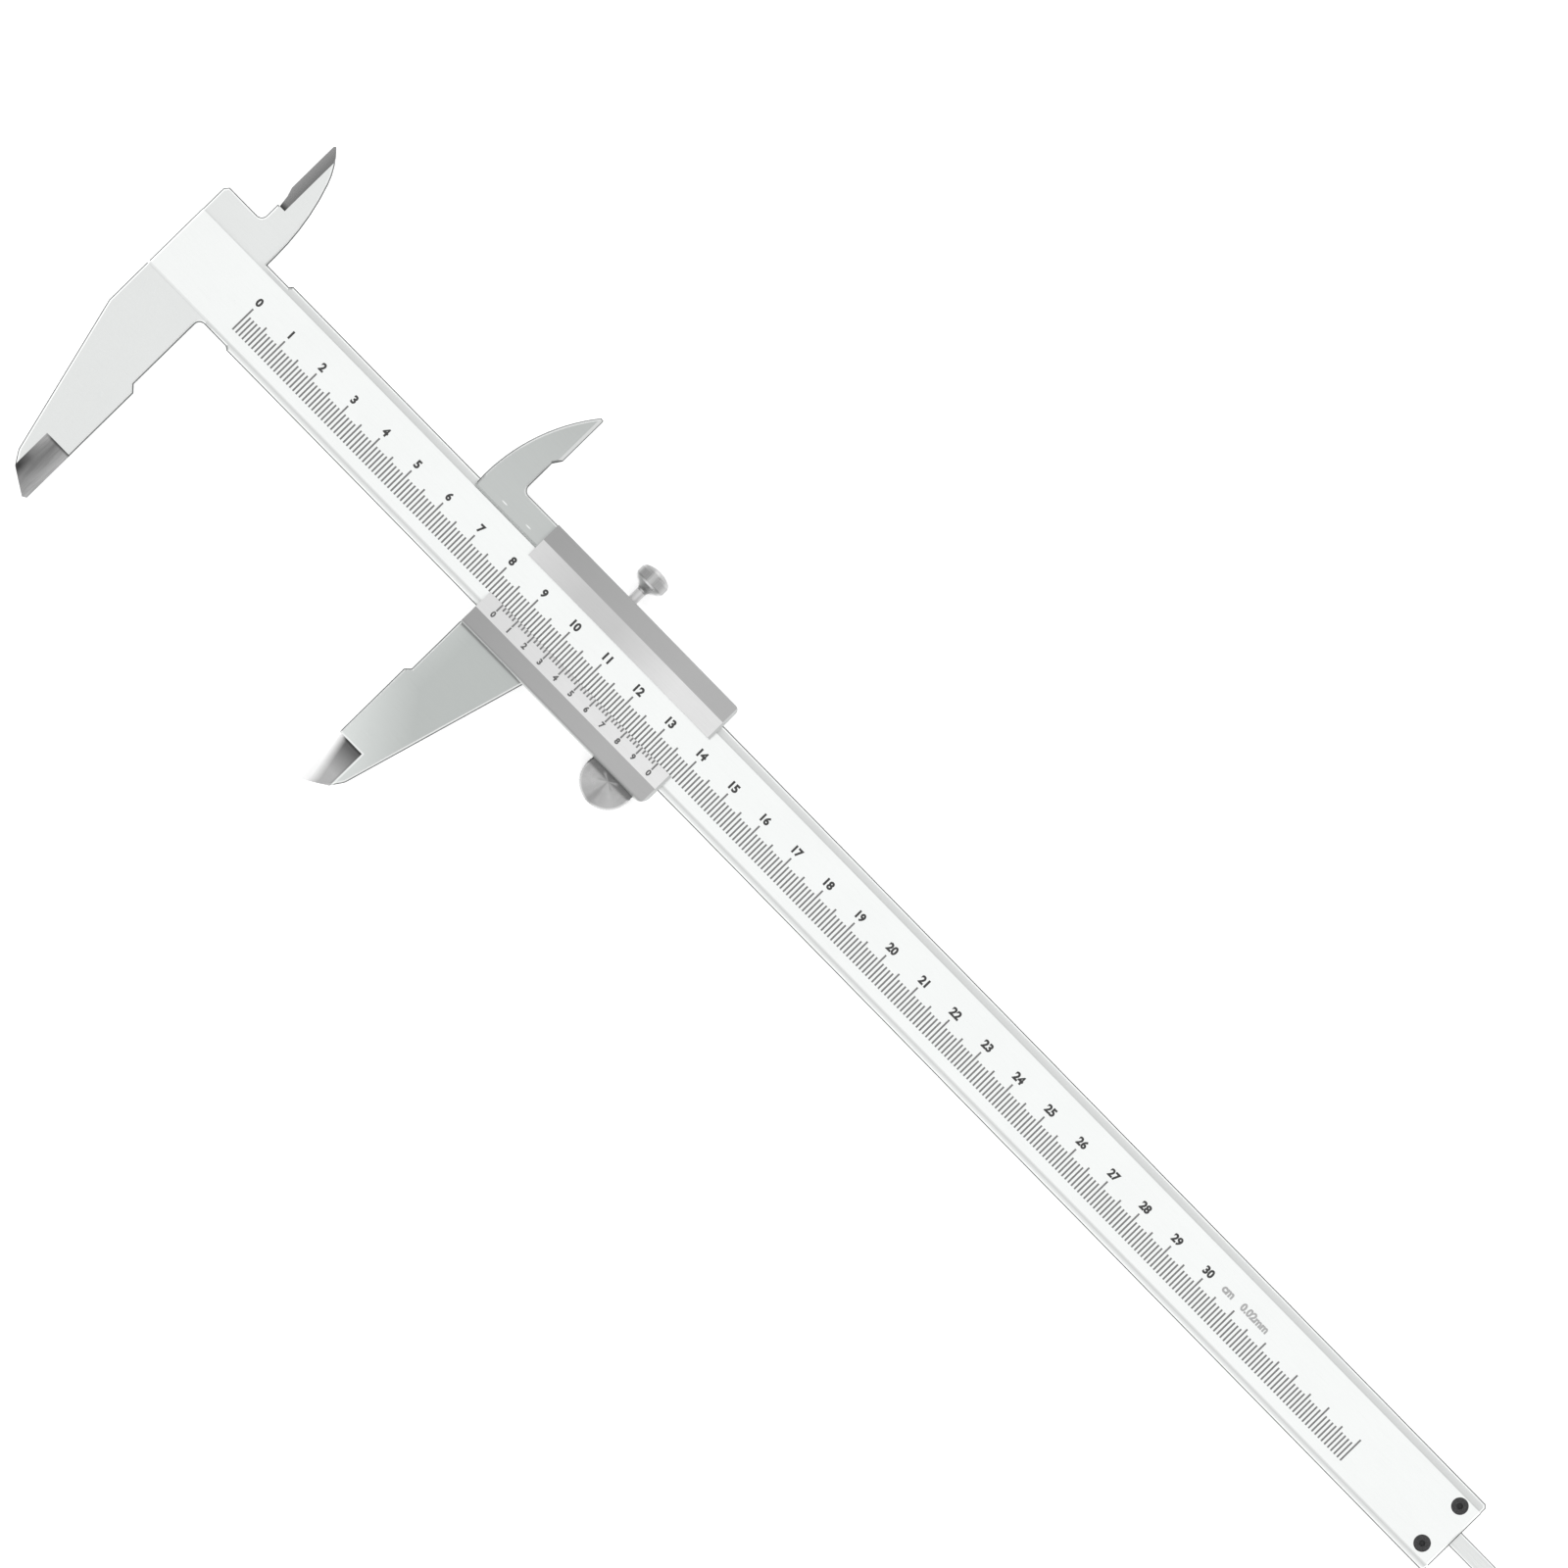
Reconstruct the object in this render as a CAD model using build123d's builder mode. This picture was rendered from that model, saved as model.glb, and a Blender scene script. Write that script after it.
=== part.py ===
from build123d import *
import os
from math import cos, pi, sin

# Vernier caliper, range 0 to 300 mm, resolution 0.02 mm, lying on its back with the jaws open.
# Sizes are in millimetres. Every x below is counted from the zero line of the main scale,
# along the beam towards its free end. Every y is counted from the beam's centreline, towards
# the inner jaws. Every z is the height above the surface that the caliper lies on.

# ---- driving dimensions ----
READING = 85.4  # how far the jaws stand open

# heights, from the back to the front
COVER_THICKNESS = 0.8
FLOOR_Z = 2.2  # floor of the slider's channel
SLIDE_GAP = 0.03  # running clearance between slider and beam
BEAM_THICKNESS = 4.0
BEAM_BACK = FLOOR_Z + SLIDE_GAP
BEAM_FRONT = BEAM_BACK + BEAM_THICKNESS
SCALE_Z = BEAM_FRONT - 0.25  # the scale face is sunk below the beam's lower rim
LEDGE_Z = BEAM_BACK + 2.5  # floor of the ledge that the moving inner blade slides in
LIP_Z = BEAM_FRONT + SLIDE_GAP
LEDGE_LIP_Z = LEDGE_Z + SLIDE_GAP
VERNIER_EDGE_Z = LIP_Z + 0.24
SLIDER_FRONT = 8.8

# beam and head
HEAD_X = -23.8
BEAM_END_X = 380.3
BEAM_WIDTH = 20.4
EDGE_Y = BEAM_WIDTH / 2
LEDGE_Y = 8.05
SCALE_LOW_Y = -8.4
RIM_Y = -9.0
HEAD_TOP_Y = 15.55
RELIEF_Y = -9.65  # the beam is a little narrower next to the head
END_CHAMFER = 0.7

# measuring faces; the moving ones are the fixed ones plus the reading
JAW_X = -5.3
KNIFE_X = -13.4
JAW_TIP_Y = -65.15
JAW_FACE_Y = -64.55
TIP_SHOULDER_Y = -51.25
TIP_WIDTH = 7.02
TIP_DEPTH = 1.4  # how much each side of an outer jaw's tip is hollow-ground away
BLADE_TIP_Y = 38.75
BLADE_THICKNESS = 2.1
BEVEL_WIDTH = 2.75
BEVEL_LOW_Y = 20.55
KNIFE_LAND = 0.2

# slider at the reading above
SLIDER_LEFT_X = 81.4
SLIDER_RIGHT_X = 138.6
SLIDER_TOP_Y = 15.35
SLIDER_BOTTOM_Y = -15.15
GIB_WALL_Y = 12.0
WINDOW_TOP_Y = 5.9
WINDOW_BOTTOM_Y = -5.85
UPPER_BEVEL_Y = 10.65
LOWER_BEVEL_Y = -10.35
PLATE_LOW_Y = 8.25  # lower edge of the moving inner blade's plate, in the ledge

# depth rod and its groove
ROD_WIDTH = 4.0
ROD_THICKNESS = 1.6
ROD_START_X = 84.4
ROD_TIP_X = BEAM_END_X + READING
GROOVE_WIDTH = 4.2
GROOVE_DEPTH = 1.65
GROOVE_START_X = -3.0
RIVET_RADIUS = 0.75
RIVET_XS = (87.0, 93.0)

# end stop
STOP_LENGTH = 8.3
END_SCREW_X = 375.8
END_SCREW_Y = 5.85
END_SCREW_HEAD = 1.93
END_SCREW_SHANK = 1.0

# clamping: gib, grub screws, lock screw
SCREW_Z = 3.95
GIB_CLEARANCE = 0.12
GIB_THICKNESS = 1.5
GIB_LENGTH = 53.0
GIB_X = (SLIDER_LEFT_X + SLIDER_RIGHT_X) / 2
GRUB_RADIUS = 1.0
GRUB_XS = {"gib_screw_left": 92.0, "gib_screw_right": 126.0}
LOCK_X = 104.6
LOCK_SHANK = 1.25
LOCK_HEAD = 3.9
LOCK_KNURL = LOCK_HEAD - 0.02  # the knurl's tips, cut just below the turned rim
LOCK_TOP_Y = 24.1

# thumb roller
ROLLER_X = 129.5
ROLLER_RADIUS = 6.4
ROLLER_Y = -EDGE_Y - ROLLER_RADIUS - 0.05
ROLLER_BACK = 2.5
ROLLER_FRONT = 6.2
AXLE_RADIUS = 1.0
EAR_RADIUS = 3.4

# screws of the back cover, where the slider's walls are thick
COVER_SCREW_XYS = ((84.9, 13.4), (135.1, 13.4), (84.9, -12.7), (118.5, -12.7))
COVER_SCREW_HEAD = 1.3
COVER_SCREW_SHANK = 0.8
COVER_SCREW_LENGTH = 4.0

BROKEN_EDGE = 0.55  # chamfer around the jaws, the head and the beam
FIT = 0.02  # radial clearance of a screw or pin in its hole
PAST = 1.0  # how far a cutting tool runs past the surface that it cuts

# the origin lies under the middle of the whole caliper, on the surface that it rests on
ZERO_X = -(HEAD_X + ROD_TIP_X) / 2
AXIS_Y = -(BLADE_TIP_Y + JAW_TIP_Y) / 2


def spot(x, y, z):
    """A plane facing forwards with its origin at a point of the caliper."""
    return Plane(origin=(ZERO_X + x, AXIS_Y + y, z))


def level(z):
    """A plane facing forwards at a height, with the scale's zero as its origin."""
    return spot(0, 0, z)


def behind(x, y, z):
    """A plane facing backwards with its origin at a point of the caliper."""
    return Plane(origin=(ZERO_X + x, AXIS_Y + y, z), z_dir=(0, 0, -1))


def across(x):
    """A plane across the beam: its first axis is the caliper's y, its second is z."""
    return Plane(origin=(ZERO_X + x, AXIS_Y, 0), x_dir=(0, 1, 0), z_dir=(1, 0, 0))


def along(y):
    """A plane along the beam: its first axis is x, its second is z. It faces the outer jaws."""
    return Plane(origin=(ZERO_X, AXIS_Y + y, 0), x_dir=(1, 0, 0), z_dir=(0, -1, 0))


def top_edge(x):
    """A plane on the slider's top edge, at the height of the screws, facing up along y."""
    return Plane(origin=(ZERO_X + x, AXIS_Y + SLIDER_TOP_Y, SCREW_Z), z_dir=(0, 1, 0))


def nearest(shapes, x, y):
    """The shape of a list that lies nearest to a point of the sketch."""
    return shapes.sort_by_distance((x, y, 0))[0]


def save(piece, name):
    """Label a finished piece and write it under that name."""
    piece.part.label = name
    export_step(piece.part, f"parts/{name}.step")


def break_edges(surfaces, z, is_spared):
    """Chamfer the rim of the largest flat surface at a height, but not the edges that are spared."""
    flat = surfaces.filter_by(Plane.XY).filter_by(lambda surface: abs(surface.center().Z - z) < 0.01)
    rim = flat.sort_by(SortBy.AREA)[-1].outer_wire().edges()
    chamfer(rim.filter_by(lambda edge: not is_spared(edge.center())), length=BROKEN_EDGE)


def is_step_or_knife(middle):
    """Whether an edge of the beam is the step of its ledge or lies at the knife edge."""
    y = middle.Y - AXIS_Y
    return abs(y - LEDGE_Y) < 0.01 or (y > BEVEL_LOW_Y and middle.X - ZERO_X < KNIFE_X + 1.2)


def break_scale_end(end_x, inward):
    """Break the edge between the sunk scale face and one end of the beam."""
    outside_x = end_x - inward * PAST
    with BuildSketch(along(LEDGE_Y)) as wedge:
        with BuildLine():
            Polyline((outside_x, SCALE_Z - BROKEN_EDGE - PAST), (outside_x, SCALE_Z + PAST),
                     (end_x + inward * (BROKEN_EDGE + PAST), SCALE_Z + PAST), close=True)
        make_face()
    extrude(wedge.sketch, amount=LEDGE_Y - SCALE_LOW_Y, mode=Mode.SUBTRACT)


def grind_jaw_tip(face_x, wall_x):
    """Thin an outer jaw's tip on both sides, in a hollow curve that ends flat at its face."""
    run_out_x = face_x + (PAST if face_x > wall_x else -PAST)
    for surface_z, side in ((BEAM_FRONT, 1), (BEAM_BACK, -1)):
        thin_z = surface_z - side * TIP_DEPTH
        outside_z = surface_z + side * PAST
        with BuildSketch(along(TIP_SHOULDER_Y)) as hollow:
            with BuildLine():
                TangentArc((run_out_x, thin_z), (wall_x, surface_z), tangent=(wall_x - run_out_x, 0))
                Polyline((wall_x, surface_z), (wall_x, outside_z), (run_out_x, outside_z),
                         (run_out_x, thin_z))
            make_face()
        extrude(hollow.sketch, amount=TIP_SHOULDER_Y - JAW_TIP_Y + PAST, mode=Mode.SUBTRACT)


def grind_knife(shoulder, edge, low_y):
    """Cut a straight bevel on an inner blade, from a shoulder (x, z) down to its knife edge."""
    (shoulder_x, surface_z), (edge_x, edge_z) = shoulder, edge
    run_out_x = edge_x + (PAST if edge_x > shoulder_x else -PAST)
    outside_z = surface_z + (PAST if surface_z > edge_z else -PAST)
    with BuildSketch(along(BLADE_TIP_Y + PAST)) as bevel:
        with BuildLine():
            Polyline((shoulder_x, surface_z), (edge_x, edge_z), (run_out_x, edge_z),
                     (run_out_x, outside_z), (shoulder_x, outside_z), close=True)
        make_face()
    extrude(bevel.sketch, amount=BLADE_TIP_Y + PAST - low_y, mode=Mode.SUBTRACT)


def slider_outline():
    """The slider's rectangle in a sketch, with its two rounded corners at the right."""
    with Locations((GIB_X, (SLIDER_TOP_Y + SLIDER_BOTTOM_Y) / 2)):
        Rectangle(SLIDER_RIGHT_X - SLIDER_LEFT_X, SLIDER_TOP_Y - SLIDER_BOTTOM_Y)
    fillet(nearest(vertices(), SLIDER_RIGHT_X, SLIDER_TOP_Y), radius=1.3)
    fillet(nearest(vertices(), SLIDER_RIGHT_X, SLIDER_BOTTOM_Y), radius=2.5)


def countersunk_screw(seat, head_radius, shank_radius, length, slot_width=0.0):
    """A countersunk screw, flush with a seat plane. Without a slot it has a hexagon socket."""
    from_top = (Align.CENTER, Align.CENTER, Align.MAX)
    head_height = head_radius - shank_radius
    with BuildPart(seat) as screw:
        Cylinder(shank_radius, length, align=from_top)
        Cone(shank_radius, head_radius, head_height, align=from_top)
        if slot_width:
            Box(2 * head_radius, slot_width, head_height / 2, align=from_top, mode=Mode.SUBTRACT)
        else:
            with BuildSketch(seat) as socket:
                RegularPolygon(0.4 * head_radius, 6)
            extrude(socket.sketch, amount=-head_height, mode=Mode.SUBTRACT)
    return screw


def knurl_outline(radius, depth, teeth):
    """Corners of a straight-knurled rim, tooth by tooth."""
    corners = []
    for step in range(2 * teeth):
        angle = pi * step / teeth
        reach = radius - depth * (step % 2)
        corners.append((reach * cos(angle), reach * sin(angle)))
    return corners


os.makedirs("parts", exist_ok=True)

# ---- beam: scale bar, head, fixed outer jaw and fixed inner blade in one piece ----
with BuildPart() as beam:
    with BuildSketch(level(BEAM_BACK)):
        with BuildLine():
            blade_back = TangentArc((-4.85, 12.0), (-8.2, 31.55), tangent=(0, 1))
            blade_tip = TangentArc(blade_back @ 1, (KNIFE_X + 0.4, BLADE_TIP_Y), tangent=blade_back % 1)
            Polyline(
                blade_tip @ 1,
                (KNIFE_X, 38.25), (KNIFE_X, 25.35), (-12.7, 23.35), (-12.3, BEVEL_LOW_Y),
                (-12.8, BEVEL_LOW_Y), (-12.8, HEAD_TOP_Y), (-22.9, HEAD_TOP_Y), (HEAD_X, 14.45),
                (HEAD_X, -20.85), (-14.2, -58.35), (-12.2, -61.35), (-6.25, JAW_TIP_Y),
                (JAW_X, JAW_FACE_Y), (JAW_X, -31.55), (-6.7, -30.05), (-6.7, RELIEF_Y),
                (1.6, RELIEF_Y), (2.4, -EDGE_Y), (BEAM_END_X, -EDGE_Y), (BEAM_END_X, EDGE_Y),
                (2.6, EDGE_Y), (2.0, 9.45), (-4.85, 9.45), blade_back @ 0,
            )
        make_face()
        fillet(nearest(vertices(), -12.8, HEAD_TOP_Y), radius=1.5)
        fillet(nearest(vertices(), -6.7, RELIEF_Y), radius=1.5)
        fillet(nearest(vertices(), -14.2, -58.35), radius=3.0)
        fillet(nearest(vertices(), -12.2, -61.35), radius=1.5)
        chamfer(nearest(vertices(), BEAM_END_X, EDGE_Y), length=END_CHAMFER)
        chamfer(nearest(vertices(), BEAM_END_X, -EDGE_Y), length=END_CHAMFER)
    extrude(amount=BEAM_THICKNESS)
    # the sunk scale face with its sloping lower border, and the deeper ledge above it
    with BuildSketch(across(HEAD_X - PAST)):
        with BuildLine():
            Polyline(
                (BLADE_TIP_Y + PAST, LEDGE_Z), (LEDGE_Y, LEDGE_Z), (LEDGE_Y, SCALE_Z),
                (SCALE_LOW_Y, SCALE_Z), (RIM_Y, BEAM_FRONT), (RIM_Y, BEAM_FRONT + PAST),
                (BLADE_TIP_Y + PAST, BEAM_FRONT + PAST), close=True,
            )
        make_face()
    extrude(amount=BEAM_END_X - HEAD_X + 2 * PAST, mode=Mode.SUBTRACT)
    break_edges(faces(), BEAM_FRONT, lambda middle: abs(middle.Y - AXIS_Y - RIM_Y) < 0.01)
    break_edges(faces(), LEDGE_Z, is_step_or_knife)
    break_edges(faces(), BEAM_BACK, is_step_or_knife)
    break_scale_end(HEAD_X, 1)
    break_scale_end(BEAM_END_X, -1)
    # groove for the depth rod in the back
    with BuildSketch(across(GROOVE_START_X)):
        with Locations((0, BEAM_BACK)):
            Rectangle(GROOVE_WIDTH, 2 * GROOVE_DEPTH)
    extrude(amount=BEAM_END_X - GROOVE_START_X + PAST, mode=Mode.SUBTRACT)
    grind_jaw_tip(JAW_X, JAW_X - TIP_WIDTH)
    grind_knife((KNIFE_X + BEVEL_WIDTH, LEDGE_Z), (KNIFE_X, BEAM_BACK + KNIFE_LAND), BEVEL_LOW_Y)
    with Locations(spot(END_SCREW_X, 0, SCALE_Z)):
        with GridLocations(0, 2 * END_SCREW_Y, 1, 2):
            CounterSinkHole(END_SCREW_SHANK + FIT, END_SCREW_HEAD + 2 * FIT, BEAM_THICKNESS + PAST, 90)
save(beam, "beam")

# ---- end stop: plate on the back of the beam's free end, held by two black screws ----
with BuildPart() as end_stop_plate:
    with BuildSketch(level(0)):
        with Locations((BEAM_END_X - STOP_LENGTH / 2, 0)):
            Rectangle(STOP_LENGTH, BEAM_WIDTH)
        chamfer(vertices().group_by(Axis.X)[-1], length=END_CHAMFER)
    extrude(amount=BEAM_BACK)
    # shallow channel that leaves the depth rod free
    with BuildSketch(across(BEAM_END_X - STOP_LENGTH - PAST)):
        with Locations((0, BEAM_BACK)):
            Rectangle(GROOVE_WIDTH + 0.2, 0.6)
    extrude(amount=STOP_LENGTH + 2 * PAST, mode=Mode.SUBTRACT)
    with Locations(spot(END_SCREW_X, 0, BEAM_BACK)):
        with GridLocations(0, 2 * END_SCREW_Y, 1, 2):
            Hole(END_SCREW_SHANK + FIT)
    chamfer(faces().sort_by(Axis.Z)[0].outer_wire().edges(), length=0.3)
save(end_stop_plate, "end_stop_plate")

for name, side in (("end_screw_upper", 1), ("end_screw_lower", -1)):
    head_seat = spot(END_SCREW_X, side * END_SCREW_Y, SCALE_Z - 0.03)
    save(countersunk_screw(head_seat, END_SCREW_HEAD, END_SCREW_SHANK, 5.6), name)

# ---- slider frame: channel with vernier strip, moving outer jaw and moving inner blade ----
with BuildPart() as slider_frame:
    with BuildSketch(level(COVER_THICKNESS)):
        slider_outline()
    extrude(amount=SLIDER_FRONT - COVER_THICKNESS)
    # rounded lower edge and broken upper edge of the front
    with BuildSketch(across(SLIDER_LEFT_X)):
        with Locations((SLIDER_BOTTOM_Y, SLIDER_FRONT)):
            Rectangle(SLIDER_TOP_Y - SLIDER_BOTTOM_Y, SLIDER_FRONT, align=(Align.MIN, Align.MAX))
        fillet(nearest(vertices(), SLIDER_BOTTOM_Y, SLIDER_FRONT), radius=0.9)
        chamfer(nearest(vertices(), SLIDER_TOP_Y, SLIDER_FRONT), length=0.25)
    extrude(amount=SLIDER_RIGHT_X - SLIDER_LEFT_X, mode=Mode.INTERSECT)
    # broken front edge of the right end
    with BuildSketch(along(0)):
        with Locations((SLIDER_RIGHT_X, SLIDER_FRONT)):
            Rectangle(SLIDER_RIGHT_X - SLIDER_LEFT_X, SLIDER_FRONT, align=(Align.MAX, Align.MAX))
        chamfer(nearest(vertices(), SLIDER_RIGHT_X, SLIDER_FRONT), length=0.45)
    extrude(amount=SLIDER_TOP_Y - SLIDER_BOTTOM_Y, both=True, mode=Mode.INTERSECT)
    # channel for the beam and the gib, and the window with sloping edges in front of it
    with BuildSketch(across(SLIDER_LEFT_X - PAST)):
        with BuildLine():
            Polyline(
                (-EDGE_Y - SLIDE_GAP, FLOOR_Z), (-EDGE_Y - SLIDE_GAP, LIP_Z),
                (WINDOW_BOTTOM_Y, LIP_Z), (WINDOW_BOTTOM_Y, VERNIER_EDGE_Z),
                (LOWER_BEVEL_Y, SLIDER_FRONT), (LOWER_BEVEL_Y, SLIDER_FRONT + PAST),
                (UPPER_BEVEL_Y, SLIDER_FRONT + PAST), (UPPER_BEVEL_Y, SLIDER_FRONT),
                (WINDOW_TOP_Y, VERNIER_EDGE_Z), (WINDOW_TOP_Y, LIP_Z), (PLATE_LOW_Y, LIP_Z),
                (PLATE_LOW_Y, LEDGE_LIP_Z), (GIB_WALL_Y, LEDGE_LIP_Z),
                (GIB_WALL_Y, FLOOR_Z), close=True,
            )
        make_face()
    extrude(amount=SLIDER_RIGHT_X - SLIDER_LEFT_X + 2 * PAST, mode=Mode.SUBTRACT)
    # pocket in the lower wall for the upper half of the thumb roller
    pocket_depth = -EDGE_Y - SLIDER_BOTTOM_Y + 2 * PAST
    with BuildSketch(level(FLOOR_Z)):
        with Locations((ROLLER_X, -EDGE_Y)):
            Rectangle(2 * ROLLER_RADIUS + 0.7, pocket_depth, align=(Align.CENTER, Align.MAX))
    extrude(amount=ROLLER_FRONT + 0.3 - FLOOR_Z, mode=Mode.SUBTRACT)
    # ear that carries the roller's axle
    with BuildSketch(level(COVER_THICKNESS)):
        with Locations((ROLLER_X, ROLLER_Y)):
            Circle(EAR_RADIUS)
        with Locations((ROLLER_X, SLIDER_BOTTOM_Y)):
            Rectangle(2 * EAR_RADIUS, SLIDER_BOTTOM_Y - ROLLER_Y + 1, align=(Align.CENTER, Align.CENTER))
    extrude(amount=FLOOR_Z - COVER_THICKNESS)
    # moving outer jaw, in line with the fixed one
    with BuildSketch(level(BEAM_BACK)):
        face_x = JAW_X + READING
        with BuildLine():
            Polyline(
                (81.3, SLIDER_BOTTOM_Y + 2), (81.3, -30.15), (face_x, -31.35),
                (face_x, JAW_FACE_Y), (face_x + 0.95, JAW_TIP_Y), (face_x + 6.9, -61.35),
                (face_x + 8.9, -58.35), (101.0, SLIDER_BOTTOM_Y), (101.0, SLIDER_BOTTOM_Y + 2),
                close=True,
            )
        make_face()
        fillet(nearest(vertices(), face_x + 8.9, -58.35), radius=3.0)
        fillet(nearest(vertices(), face_x + 6.9, -61.35), radius=1.5)
    extrude(amount=BEAM_THICKNESS)
    break_edges(faces(), BEAM_FRONT, lambda middle: middle.Y - AXIS_Y > SLIDER_BOTTOM_Y - 0.01)
    break_edges(faces(), BEAM_BACK, lambda middle: middle.Y - AXIS_Y > -32.0)
    grind_jaw_tip(face_x, face_x + TIP_WIDTH)
    # moving inner blade, in front of the ledge of the beam
    with BuildSketch(level(LEDGE_LIP_Z)):
        knife_x = KNIFE_X + READING
        with BuildLine():
            blade_curve = TangentArc((61.8, 11.55), (knife_x - 0.9, BLADE_TIP_Y - 0.2), tangent=(0, 1))
            Polyline(
                blade_curve @ 1,
                (knife_x - 0.1, BLADE_TIP_Y - 0.3), (knife_x, 38.0), (knife_x, 25.75),
                (71.0, 24.25), (70.65, 23.75), (70.65, 15.1), (SLIDER_LEFT_X + 1, 15.1),
                (SLIDER_LEFT_X + 1, PLATE_LOW_Y), (62.0, PLATE_LOW_Y), blade_curve @ 0,
            )
        make_face()
        fillet(nearest(vertices(), 70.65, 15.1), radius=1.5)
    extrude(amount=BLADE_THICKNESS)
    blade_front = LEDGE_LIP_Z + BLADE_THICKNESS
    break_edges(faces(), blade_front, lambda middle: middle.X - ZERO_X > SLIDER_LEFT_X - 0.01)
    grind_knife((knife_x - BEVEL_WIDTH, LEDGE_LIP_Z), (knife_x, blade_front - 0.6), 23.0)
    grind_knife((knife_x - 1.0, blade_front), (knife_x, blade_front - 0.4), 23.0)
    # holes for the lock screw, the grub screws, the cover's screws, the rod's rivets and the axle
    wall = SLIDER_TOP_Y - GIB_WALL_Y
    with Locations(top_edge(LOCK_X)):
        Hole(LOCK_SHANK + FIT, wall + 0.4)
    for grub_x in GRUB_XS.values():
        with Locations(top_edge(grub_x)):
            Hole(GRUB_RADIUS + FIT, wall + 0.4)
    for x, y in COVER_SCREW_XYS:
        with Locations(behind(x, y, COVER_THICKNESS)):
            Hole(COVER_SCREW_SHANK + FIT, COVER_SCREW_LENGTH - COVER_THICKNESS + 0.5)
    for x in RIVET_XS:
        with Locations(behind(x, 0, COVER_THICKNESS)):
            Hole(RIVET_RADIUS + FIT, FLOOR_Z)
    with Locations(behind(ROLLER_X, ROLLER_Y, COVER_THICKNESS)):
        Hole(AXLE_RADIUS + FIT, FLOOR_Z)
save(slider_frame, "slider_frame")

# ---- back cover: thin plate over the rod's rivets, held by four countersunk screws ----
with BuildPart() as back_cover:
    with BuildSketch(level(0)):
        slider_outline()
    extrude(amount=COVER_THICKNESS)
    chamfer(faces().sort_by(Axis.Z)[0].outer_wire().edges(), length=0.3)
    for x, y in COVER_SCREW_XYS:
        with Locations(behind(x, y, 0)):
            CounterSinkHole(COVER_SCREW_SHANK + FIT, COVER_SCREW_HEAD + 2 * FIT, FLOOR_Z, 90)
save(back_cover, "back_cover")

for number, (x, y) in enumerate(COVER_SCREW_XYS, start=1):
    head_seat = behind(x, y, 0.03)
    screw = countersunk_screw(head_seat, COVER_SCREW_HEAD, COVER_SCREW_SHANK, COVER_SCREW_LENGTH, 0.4)
    save(screw, f"back_cover_screw_{number}")

# ---- depth rod: flat bar with broken front edges and a stepped tip, riveted to the slider ----
with BuildPart() as depth_rod:
    with BuildSketch(across(ROD_START_X)):
        with Locations((0, FLOOR_Z + ROD_THICKNESS / 2)):
            Rectangle(ROD_WIDTH, ROD_THICKNESS)
        chamfer(vertices().group_by(Axis.Y)[-1], length=0.4)
    extrude(amount=ROD_TIP_X - ROD_START_X)
    with BuildSketch(level(FLOOR_Z)):
        with Locations((ROD_TIP_X, ROD_WIDTH / 2)):
            Rectangle(8.0, 2.4)
    extrude(amount=ROD_THICKNESS, mode=Mode.SUBTRACT)
    for x in RIVET_XS:
        with Locations(behind(x, 0, FLOOR_Z)):
            Hole(RIVET_RADIUS + FIT)
save(depth_rod, "depth_rod")

for number, x in enumerate(RIVET_XS, start=1):
    with BuildPart(spot(x, 0, COVER_THICKNESS)) as rivet:
        Cylinder(RIVET_RADIUS, FLOOR_Z + ROD_THICKNESS - COVER_THICKNESS,
                 align=(Align.CENTER, Align.CENTER, Align.MIN))
        chamfer(edges().sort_by(Axis.Z)[0], length=0.15)
    save(rivet, f"rod_rivet_{number}")

# ---- gib: brass strip that the screws in the top wall set against the beam's edge ----
gib_low_y = EDGE_Y + GIB_CLEARANCE
gib_back_y = gib_low_y + GIB_THICKNESS
with BuildPart() as gib_strip:
    with BuildSketch(level(FLOOR_Z + 0.1)):
        with Locations((GIB_X, gib_low_y + GIB_THICKNESS / 2)):
            Rectangle(GIB_LENGTH, GIB_THICKNESS)
        chamfer(vertices().group_by(Axis.Y)[0], length=0.4)
    extrude(amount=LEDGE_Z - FLOOR_Z - 0.15)
save(gib_strip, "gib_strip")

for name, x in GRUB_XS.items():
    tip_depth = SLIDER_TOP_Y - gib_back_y - 0.01
    from_top = (Align.CENTER, Align.CENTER, Align.MAX)
    with BuildPart(top_edge(x).offset(-tip_depth)) as grub:
        Cylinder(GRUB_RADIUS, 2.7, align=(Align.CENTER, Align.CENTER, Align.MIN))
        chamfer(edges().filter_by(GeomType.CIRCLE).sort_by(Axis.Y)[0], length=0.3)
        with Locations((0, 0, 2.7)):
            Box(2 * GRUB_RADIUS, 0.35, 0.7, align=from_top, mode=Mode.SUBTRACT)
    save(grub, name)

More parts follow.
